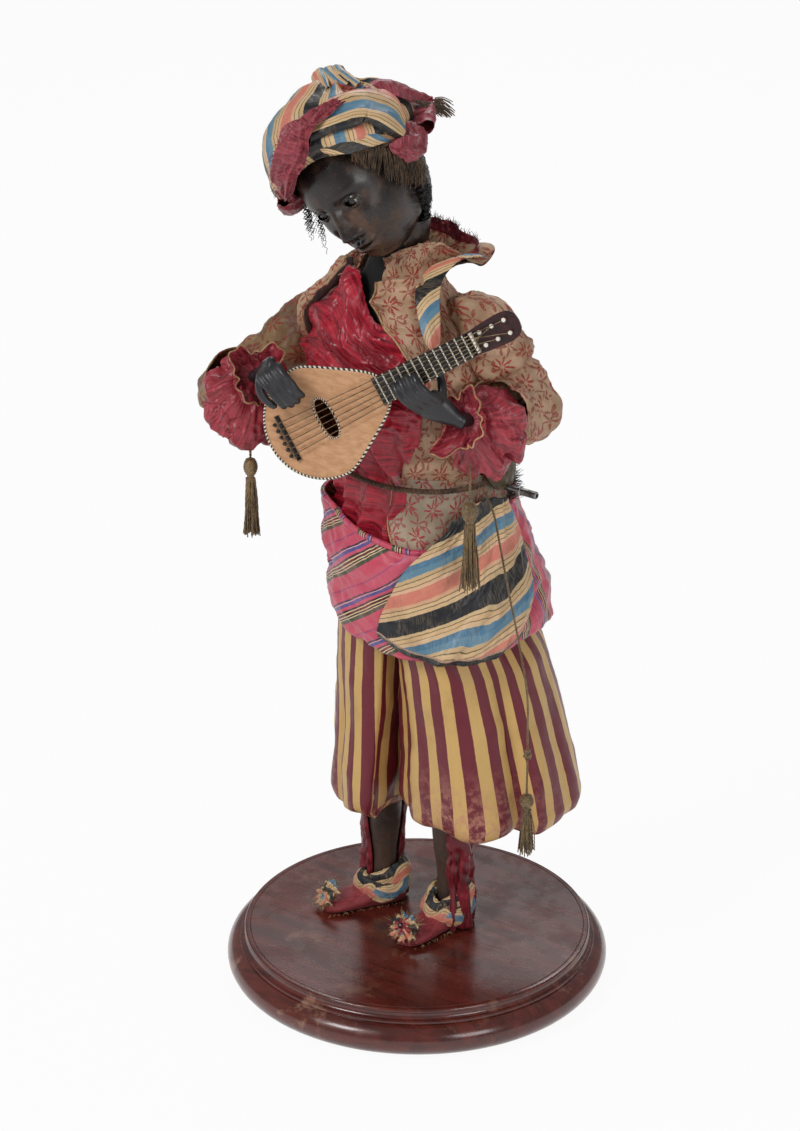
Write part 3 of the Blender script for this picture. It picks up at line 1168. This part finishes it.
def build_mandolin(spruce, maple, ebony, rosewood, wire, card, mandolin):
    """Bowl, soundboard, neck with headstock, fingerboard with frets, bridge and strings.

    Gives back the line of the stem that holds the bowl to the torso.
    """
    outline = mandolin_outline()
    centre_x = MANDOLIN_HALF_WIDTH * 0.98
    top = -SOUNDBOARD_THICKNESS - GAP
    outer, inner = [], []
    for share in (0.0, 0.3, 0.55, 0.78, 0.94, 1.0):
        shrink = math.cos(share * math.pi / 2) if share < 1 else 0.0
        deep = math.sin(share * math.pi / 2)

        def layer(wall):
            depth = top - (BOWL_DEPTH - wall) * deep
            keep = 1 - wall / MANDOLIN_HALF_WIDTH
            return [
                Vector((centre_x + (x - centre_x) * shrink * keep, y * shrink * keep, depth)) for x, y in outline
            ]

        outer.insert(0, layer(0.0))
        inner.insert(0, layer(BOWL_WALL))
    bowl = slab("mandolin_bowl", outer, inner, maple, wrap=True, pole=True, parent=mandolin)

    # Stem that fixes the bowl to the torso casing through the shirt
    back = Vector((centre_x, 0, top - BOWL_DEPTH + BOWL_WALL))
    toward = mandolin.matrix_world.inverted().to_3x3() @ Vector((0, 1, 0))
    fuse(bowl, rod("bowl_stem", back, back + toward * 70 * MM, STEM_RADIUS, maple, 10, parent=mandolin))
    carve(bowl, body_guard("stem_guard", GAP, maple))

    board = prism("mandolin_soundboard", outline, SOUNDBOARD_THICKNESS, spruce,
                  Matrix.Translation((0, 0, -SOUNDBOARD_THICKNESS)), mandolin)
    hole = []
    for angle in full_turn(20):
        end = 9 * MM * (1 if math.sin(angle) > 0 else -1)
        hole.append((MANDOLIN_LENGTH * 0.47 + 5 * MM * math.cos(angle), end + 5 * MM * math.sin(angle)))
    carve(board, prism("sound_hole", hole, 6 * SOUNDBOARD_THICKNESS, spruce,
                       Matrix.Translation((0, 0, -3 * SOUNDBOARD_THICKNESS)), mandolin))

    # Neck and headstock in one, under the fingerboard
    joint = MANDOLIN_LENGTH + GAP
    end = NECK_END + HEADSTOCK_LENGTH
    rings = []
    for x, half, deep in (
        (joint, NECK_HALF_WIDTH * 1.18, NECK_THICKNESS), (NECK_END - 6 * MM, NECK_HALF_WIDTH, NECK_THICKNESS),
        (NECK_END + 2 * MM, NECK_HALF_WIDTH, NECK_THICKNESS * 0.8),
        (NECK_END + 10 * MM, NECK_HALF_WIDTH * 1.08, NECK_THICKNESS * 0.7),
        (end - 8 * MM, NECK_HALF_WIDTH * 1.2, NECK_THICKNESS * 0.7),
        (end - 2 * MM, NECK_HALF_WIDTH * 0.9, NECK_THICKNESS * 0.7),
        (end, NECK_HALF_WIDTH * 0.5, NECK_THICKNESS * 0.7),
    ):
        ring = [Vector((x, -half, -GAP)), Vector((x, half, -GAP))]
        for angle in spread(math.radians(12), math.radians(168), 7):
            ring.append(Vector((x, half * math.cos(angle), -GAP - deep * math.sin(angle))))
        rings.append(ring)
    neck = loft("mandolin_neck", rings, rosewood, parent=mandolin)
    heel_low = Vector((joint, -NECK_HALF_WIDTH, top - 10 * MM))
    heel_high = Vector((joint + 4 * MM, NECK_HALF_WIDTH, -2 * GAP))
    fuse(neck, block("neck_heel", heel_low, heel_high, rosewood, parent=mandolin))
    for index in range(STRING_COUNT):
        row, column = index % 2, index // 2
        spot = Vector((NECK_END + 10 * MM + 9.5 * MM * column, (row - 0.5) * NECK_HALF_WIDTH * 1.1, -MM))
        fuse(neck, rod(f"string_pin_{index}", spot, spot + Vector((0, 0, 3 * MM)), 1.1 * MM, rosewood, 8,
                       parent=mandolin))

    # Fingerboard and its frets
    start = MANDOLIN_LENGTH - 8 * MM
    board_rings = [
        [Vector((x, y, z)) for y, z in ((-half, GAP), (half, GAP), (half, FINGERBOARD_THICKNESS),
                                        (-half, FINGERBOARD_THICKNESS))]
        for x, half in ((start, NECK_HALF_WIDTH * 1.2), (NECK_END, NECK_HALF_WIDTH))
    ]
    fingerboard = loft("fingerboard", board_rings, ebony, parent=mandolin)
    frets = 10
    for index in range(frets):
        x = mix(start + 5 * MM, NECK_END - 2 * MM, (index / (frets - 1)) ** 1.15)
        fuse(fingerboard, block(f"fret_{index}", (x, -NECK_HALF_WIDTH * 0.98, FINGERBOARD_THICKNESS - 0.4 * MM),
                                (x + 0.7 * MM, NECK_HALF_WIDTH * 0.98, FINGERBOARD_THICKNESS + 0.5 * MM), wire,
                                parent=mandolin))

    # Bridge with the strings anchored in it, as one wire harp
    bridge_x = 13 * MM
    block("bridge", (bridge_x - 1.5 * MM, -17 * MM, GAP), (bridge_x + 1.5 * MM, 17 * MM, STRING_HEIGHT),
          ebony, parent=mandolin)
    strings = None
    for index in range(STRING_COUNT):
        share = index / (STRING_COUNT - 1) - 0.5
        a = Vector((bridge_x - 2.4 * MM, share * 24 * MM, STRING_HEIGHT + GAP + STRING_RADIUS))
        b = Vector((NECK_END + 4 * MM, share * 12 * MM, STRING_HEIGHT + GAP + STRING_RADIUS))
        string = rod("strings" if strings is None else f"string_{index}", a, b, STRING_RADIUS, wire, 6,
                     parent=mandolin)
        if strings is None:
            strings = string
        else:
            fuse(strings, string)
    z = STRING_HEIGHT + GAP + STRING_RADIUS
    tail_bar = rod("tail_bar", Vector((bridge_x - 2.4 * MM, -13 * MM, z)), Vector((bridge_x - 2.4 * MM, 13 * MM, z)),
                   0.6 * MM, wire, 8, parent=mandolin)
    nut_bar = block("nut", (NECK_END + 3 * MM, -7 * MM, GAP), (NECK_END + 4.6 * MM, 7 * MM, z + 0.6 * MM), wire,
                    parent=mandolin)
    fuse(strings, tail_bar, nut_bar)
    to_world = mandolin.matrix_world
    return to_world @ back, to_world @ (back + toward * 70 * MM)


def build_costume(mats, stem):
    """Shirt, jacket with its collar, trousers, the two sashes and the pouch at the hip."""
    # Angles run from the figure's left (0) over the back (90) to its right (180) and front (270)
    def jacket_edge(height):
        """Angle of the jacket's left front edge, which swings open towards the chest."""
        return math.radians(along([(330 * MM, -84), (400 * MM, -72), (470 * MM, -56), (526 * MM, -62)], height)[0])

    def ruffle(height, angle):
        wave = math.sin(angle * 11 + height / MM * 0.21) * math.cos(height / MM * 0.33)
        return 1.3 * MM * wave

    heights = body_heights(SASH_TOP - 12 * MM, 526 * MM, 34 * MM)
    outer, inner = [], []
    for height in heights:
        left_edge = jacket_edge(height) - math.radians(1.2)
        angles = spread(math.radians(-172), left_edge, 11)
        outer.append([body_point(height, a, CLOTH_GAP + SHIRT_THICKNESS - 2 * MM + ruffle(height, a)) for a in angles])
        inner.append(body_row(height, angles, CLOTH_GAP))
    shirt = slab("shirt", outer, inner, mats["shirt"])
    carve(shirt, rod("stem_hole", *stem, STEM_RADIUS + GAP, mats["shirt"], 16))

    heights = body_heights(SASH_TOP - 12 * MM, 531 * MM, 34 * MM)
    outer, inner = [], []
    for height in heights:
        angles = spread(jacket_edge(height), math.radians(188) - math.radians(1.2), 17)
        fold = [0.9 * MM * math.sin(8 * a + height / MM * 0.05) for a in angles]
        skirt = 5 * MM * ease((410 * MM - height) / (60 * MM))
        outer.append([
            body_point(height, a, CLOTH_GAP + JACKET_THICKNESS - MM + f + skirt) for a, f in zip(angles, fold)
        ])
        inner.append(body_row(height, angles, CLOTH_GAP))
    x, y = NECK_BASE
    angles = spread(jacket_edge(heights[-1]), math.radians(188) - math.radians(1.2), 17)
    for radius, rise in ((30 * MM, 0.6 * MM), (21 * MM, 1.5 * MM)):
        z = heights[-1] + rise
        ring = [Vector((x + 1.1 * radius * math.cos(a), y + radius * math.sin(a), z)) for a in angles]
        outer.append([point + Vector((0, 0, 3 * MM)) for point in ring])
        inner.append(ring)
    jacket = slab("jacket", outer, inner, mats["brocade"])
    winding_y, winding_z = BARREL_AXIS
    carve(
        jacket,
        rod("jacket_hole", Vector((MOVEMENT_X, winding_y, winding_z)), Vector((WINDING_TIP_X, winding_y, winding_z)),
            WINDING_RADIUS + MM, mats["brocade"]),
        stop_lever_slot("jacket_slot", mats["brocade"]),
    )

    # Shawl collar: it stands round the neck, rolls over and falls wide on the left shoulder
    rows_out, rows_in = [], []
    x, y = NECK_BASE
    for radius, rise, wave in ((23, 0, 0), (23, 13, 0), (29, 24, 0.5), (39, 27, 1.5), (48, 23, 3)):
        row_out, row_in = [], []
        for a in spread(math.radians(-62), math.radians(186), 15):
            wide = 1 + 0.30 * max(0.0, math.cos(a - math.radians(20))) * ease((radius - 22) / 20)
            tall = 1 - 0.35 * max(0.0, -math.sin(a))
            out = radius * wide * MM
            z = COLLAR_BOTTOM + rise * tall * MM + wave * MM * math.sin(7 * a)
            ray = Vector((1.1 * math.cos(a), math.sin(a), 0))
            row_out.append(Vector((x, y, z + 1.2 * MM)) + ray * (out + 0.6 * MM))
            row_in.append(Vector((x, y, z - 1.2 * MM)) + ray * (out - 1.6 * MM))
        rows_out.append(row_out)
        rows_in.append(row_in)
    fuse(jacket, slab("collar", rows_out, rows_in, mats["brocade"]))

    # Trouser legs: walled tubes with pleats, trimmed where they meet between the legs
    for side, hem, stations in (
        ("left", LEFT_HEM, (
            (0.0, 21, 15, 42, 54), (0.25, 33, 22, 49, 60), (0.6, 42, 28, 55, 66), (0.92, 48, 32, 60, 70),
            (1.0, 47, 32, 53, 62))),
        ("right", RIGHT_HEM, (
            (0.0, -23, 15, 41, 54), (0.25, -25, 16, 41, 55), (0.6, -26, 18, 42, 58), (0.92, -28, 20, 44, 60),
            (1.0, -27, 20, 37, 53))),
    ):
        outer, inner = [], []
        outward = 1 if side == "left" else -1
        for share in (0.0, 0.2, 0.45, 0.7, 0.86, 0.94, 1.0):
            x, y, half_width, half_depth = (value * MM for value in along(stations, share))
            height = mix(TROUSER_TOP, hem, share)
            row_out, row_in = [], []
            for a in full_turn(20):
                fold = 2.6 * MM * share * math.sin(5 * a + 0.6) + 1.2 * MM * math.sin(9 * a) * share
                lift = 9 * MM * share * max(0.0, math.sin(a - 0.3))
                for row, wall in ((row_out, 0.0), (row_in, TROUSER_WALL)):
                    near = x + (half_width + fold - wall) * math.cos(a)
                    seam = CROTCH_X + outward * (GAP / 2 + wall)
                    near = max(near, seam) if outward > 0 else min(near, seam)
                    row.append(Vector((near, y + (half_depth + fold - wall) * math.sin(a), height + lift)))
            outer.append(row_out)
            inner.append(row_in)
        leg = slab(f"trouser_leg_{side}", outer, inner, mats["trousers"], wrap=True)
        carve(leg, body_guard(f"pelvis_guard_{side}", GAP, mats["trousers"], PELVIS_TOP - PELVIS_THICKNESS - GAP))
    return shirt, jacket


def hip_point(height, angle, offset):
    """A point round the draped hips, outside the jacket's hem and the tops of the trousers."""
    table = [
        (270 * MM, 10 * MM, 19 * MM, 82 * MM, 74 * MM),
        (300 * MM, 8 * MM, 18 * MM, 78 * MM, 69 * MM),
        (332 * MM, 4 * MM, 15 * MM, 73 * MM, 63 * MM),
        (352 * MM, -1.7 * MM, 12.7 * MM, 68.6 * MM, 60.4 * MM),
        (385 * MM, -3.9 * MM, 11.4 * MM, 65.3 * MM, 56.1 * MM),
        (404 * MM, -5.7 * MM, 10.4 * MM, 64.4 * MM, 54.4 * MM),
    ]
    x, y, half_width, half_depth = along(table, height)
    return Vector(
        (x + (half_width + offset) * math.cos(angle), y + (half_depth + offset) * math.sin(angle), height)
    )


def build_sashes(pink, striped, leather):
    """The sash wound round the hips, the silk draped over its front, and the pouch at the left hip."""
    angles = full_turn(24)
    outer, inner = [], []
    for share in (0.0, 0.25, 0.5, 0.75, 1.0):
        out_row, in_row = [], []
        for a in angles:
            low = SASH_BOTTOM + 5 * MM * math.sin(2 * a + 1.2) + 4 * MM
            high = SASH_TOP + 24 * MM + 8 * MM * math.cos(a - math.radians(200))
            height = mix(low, high, share)
            roll = 2.2 * MM * math.sin(share * 9 + 2 * a) * math.sin(math.pi * share)
            out_row.append(hip_point(height, a, 4.2 * MM + roll))
            in_row.append(hip_point(height, a, GAP))
        outer.append(out_row)
        inner.append(in_row)
    slab("sash_hips", outer, inner, pink, wrap=True)

    outer, inner = [], []
    for share in (0.0, 0.15, 0.35, 0.55, 0.75, 0.9, 1.0):
        height = mix(SASH_BOTTOM + 8 * MM, 396 * MM, share)
        start = along([(0.0, -92), (0.15, -98), (0.5, -84), (1.0, -36)], share)[0]
        end = along([(0.0, -22), (0.15, 2), (0.5, 12), (1.0, 6)], share)[0]
        out_row, in_row = [], []
        for a in spread(math.radians(start), math.radians(end), 12):
            droop = 5 * MM * (1 - share) * math.cos(2 * (a + math.radians(54)))
            fold = 1.0 * MM * math.sin(9 * a + 6 * share)
            z = height - droop
            out_row.append(hip_point(z, a, 11.5 * MM + fold))
            in_row.append(hip_point(z, a, 8.4 * MM))
        outer.append(out_row)
        inner.append(in_row)
    slab("sash_front", outer, inner, striped)

    outer, inner = [], []
    for share in (0.0, 0.25, 0.6, 1.0):
        height = mix(404 * MM, 420 * MM, share)
        half = math.radians(17) * math.sqrt(1 - 0.75 * (1 - share) ** 2)
        row = spread(math.radians(2) - half, math.radians(2) + half, 7)
        near = CORD_OFFSET + WAIST_CORD_RADIUS + GAP
        outer.append([body_point(height, a, near + 2.8 * MM) for a in row])
        inner.append([body_point(height, a, near) for a in row])
    pouch = slab("hip_pouch", outer, inner, leather)
    winding_y, winding_z = BARREL_AXIS
    line = Vector((MOVEMENT_X, winding_y, winding_z)), Vector((WINDING_TIP_X + MM, winding_y, winding_z))
    carve(pouch, rod("pouch_notch", *line, WINDING_RADIUS + 2.2 * MM, leather))


def tassel(name, top, length, radius, thread, cord_share=0.12):
    """A short cord, a bound head and a skirt of threads."""
    profile = [(radius * 0.55, 0.0), (radius * 0.72, 0.10), (radius * 0.5, 0.22), (radius * 0.62, 0.28),
               (radius * 0.95, 0.65), (radius, 1.0)]
    start = cord_share * length
    points = [(0, 0), (CORD_RADIUS, 0), (CORD_RADIUS, -start)]
    points += [(out, -start - share * (length - start)) for out, share in profile]
    points.append((0, -length))
    return turned(name, points, thread, Matrix.Translation(top), 10)


def build_cords(brown, gilt):
    """The twisted cord round the waist, the doubled cord from the hip and the three tassels."""
    ring = []
    for a in spread(math.radians(-2), math.radians(-358), 36):
        sag = 5 * MM * math.cos(a + math.radians(54))
        ring.append(body_point(CORD_HEIGHT - sag, a, CORD_OFFSET))
    tube_along("waist_cord", ring, WAIST_CORD_RADIUS, brown, 1)
    tube_along("hip_cord", smooth_path(HIP_CORD_ROUTE, HIP_CORD_POINT_COUNT), CORD_RADIUS, gilt)
    end = HIP_CORD_ROUTE[-1] - Vector((0, 0, 0.02 * MM))
    tassel("hip_tassel", end, TASSEL_LENGTH, TASSEL_RADIUS, gilt)
    tassel("cuff_tassel_right", RIGHT_TASSEL_TOP, 82 * MM, TASSEL_RADIUS, gilt, 0.28)
    tassel("cuff_tassel_left", LEFT_TASSEL_TOP, 102 * MM, TASSEL_RADIUS * 1.15, gilt, 0.34)


def build_scene():
    """Builds every piece of the automaton."""
    for old in list(bpy.data.objects):
        bpy.data.objects.remove(old)

    mahogany = material("mahogany", (0.22, 0.05, 0.02), 0.3)
    felt = material("green_baize", (0.03, 0.12, 0.05), 0.9)
    steel = material("steel", (0.45, 0.45, 0.46), 0.35, 1.0)
    brass = material("brass", (0.62, 0.45, 0.18), 0.35, 1.0)
    pine = material("pine", (0.45, 0.30, 0.16), 0.6)
    card = material("moulded_card", (0.35, 0.28, 0.2), 0.8)
    skin = material("painted_head", (0.035, 0.028, 0.026), 0.45)
    glass = material("eye_glass", (0.7, 0.7, 0.68), 0.1)
    lid = material("eyelid_leather", (0.04, 0.03, 0.03), 0.6)
    hair = material("hair", (0.012, 0.012, 0.014), 0.8)
    striped = material("striped_silk", (0.55, 0.42, 0.26), 0.55)
    red = material("red_silk", (0.42, 0.06, 0.07), 0.5)
    rose = material("rose_silk", (0.45, 0.09, 0.09), 0.5)
    brocade = material("brocade", (0.42, 0.30, 0.18), 0.7)
    shirt = material("shirt_silk", (0.45, 0.03, 0.05), 0.5)
    trousers = material("trouser_cloth", (0.60, 0.38, 0.13), 0.6)
    slipper = material("slipper_cloth", (0.40, 0.10, 0.08), 0.6)
    spruce = material("spruce", (0.60, 0.34, 0.17), 0.45)
    maple = material("maple", (0.35, 0.10, 0.02), 0.3)
    ebony = material("ebony", (0.02, 0.018, 0.018), 0.4)
    rosewood = material("rosewood", (0.07, 0.02, 0.025), 0.4)
    wire = material("wire", (0.6, 0.58, 0.5), 0.3, 1.0)
    pink = material("pink_silk", (0.62, 0.10, 0.16), 0.45)
    leather = material("leather", (0.12, 0.08, 0.03), 0.55)
    cord = material("brown_cord", (0.10, 0.05, 0.025), 0.8)
    gilt = material("gilt_thread", (0.25, 0.17, 0.07), 0.6)

    build_base(mahogany, felt, steel)
    build_leg("right", RIGHT_LEG, RIGHT_FOOT_TURN, skin, slipper, red)
    build_leg("left", LEFT_LEG, LEFT_FOOT_TURN, skin, slipper, red)
    build_torso(pine, card)
    build_movement(brass, steel)

    head_frame = bpy.data.objects.new("head_frame", None)
    bpy.context.scene.collection.objects.link(head_frame)
    head_frame.matrix_world = (
        Matrix.Translation(HEAD_CENTRE)
        @ Matrix.Rotation(HEAD_YAW, 4, "Z")
        @ Matrix.Rotation(-HEAD_ROLL, 4, "Y")
        @ Matrix.Rotation(HEAD_NOD, 4, "X")
    )
    build_neck(pine, steel, head_frame)
    build_head(skin, glass, lid, hair, card, head_frame)
    build_turban(striped, red, head_frame)

    mandolin = bpy.data.objects.new("mandolin_frame", None)
    bpy.context.scene.collection.objects.link(mandolin)
    width_axis = FACE_NORMAL.cross(NECK_DIRECTION).normalized()
    face = NECK_DIRECTION.cross(width_axis).normalized()
    mandolin.matrix_world = Matrix.Translation(MANDOLIN_TAIL) @ Matrix(
        (NECK_DIRECTION, width_axis, face)
    ).transposed().to_4x4()
    stem = build_mandolin(spruce, maple, ebony, rosewood, wire, card, mandolin)

    cuffs = {
        "right": {"tassel": RIGHT_TASSEL_TOP, "start": 30 * MM, "middle": 42 * MM, "end": 66 * MM,
                  "sleeve": ((0, 15 * MM, 2 * MM), (1, 20 * MM, 5 * MM)),
                  "ruffle": ((0, 21 * MM, 7 * MM), (0.35, 28 * MM, 14 * MM), (0.7, 26 * MM, 12 * MM),
                             (1, 13 * MM, 3 * MM))},
        "left": {"tassel": LEFT_TASSEL_TOP, "start": 28 * MM, "middle": 36 * MM, "end": 66 * MM,
                 "sleeve": ((0, 15 * MM, 2 * MM), (1, 19 * MM, 3 * MM)),
                 "ruffle": ((0, 21 * MM, 5 * MM), (0.35, 27 * MM, 11 * MM), (0.7, 25 * MM, 9 * MM),
                            (1, 13 * MM, 2 * MM))},
    }
    dowels = {
        "right": build_arm("right", RIGHT_SHOULDER, RIGHT_ELBOW, RIGHT_WRIST, brocade, rose, skin, cuffs["right"],
                           CLOTH_GAP + SHIRT_THICKNESS - 0.3 * MM),
        "left": build_arm("left", LEFT_SHOULDER, LEFT_ELBOW, LEFT_WRIST, brocade, rose, skin, cuffs["left"],
                          CLOTH_GAP + JACKET_THICKNESS + 0.4 * MM),
    }
    bpy.context.view_layer.update()
    build_hands(dowels, skin, mandolin)
    build_costume({"shirt": shirt, "brocade": brocade, "trousers": trousers}, stem)
    build_sashes(pink, striped, leather)
    build_cords(cord, gilt)


build_scene()
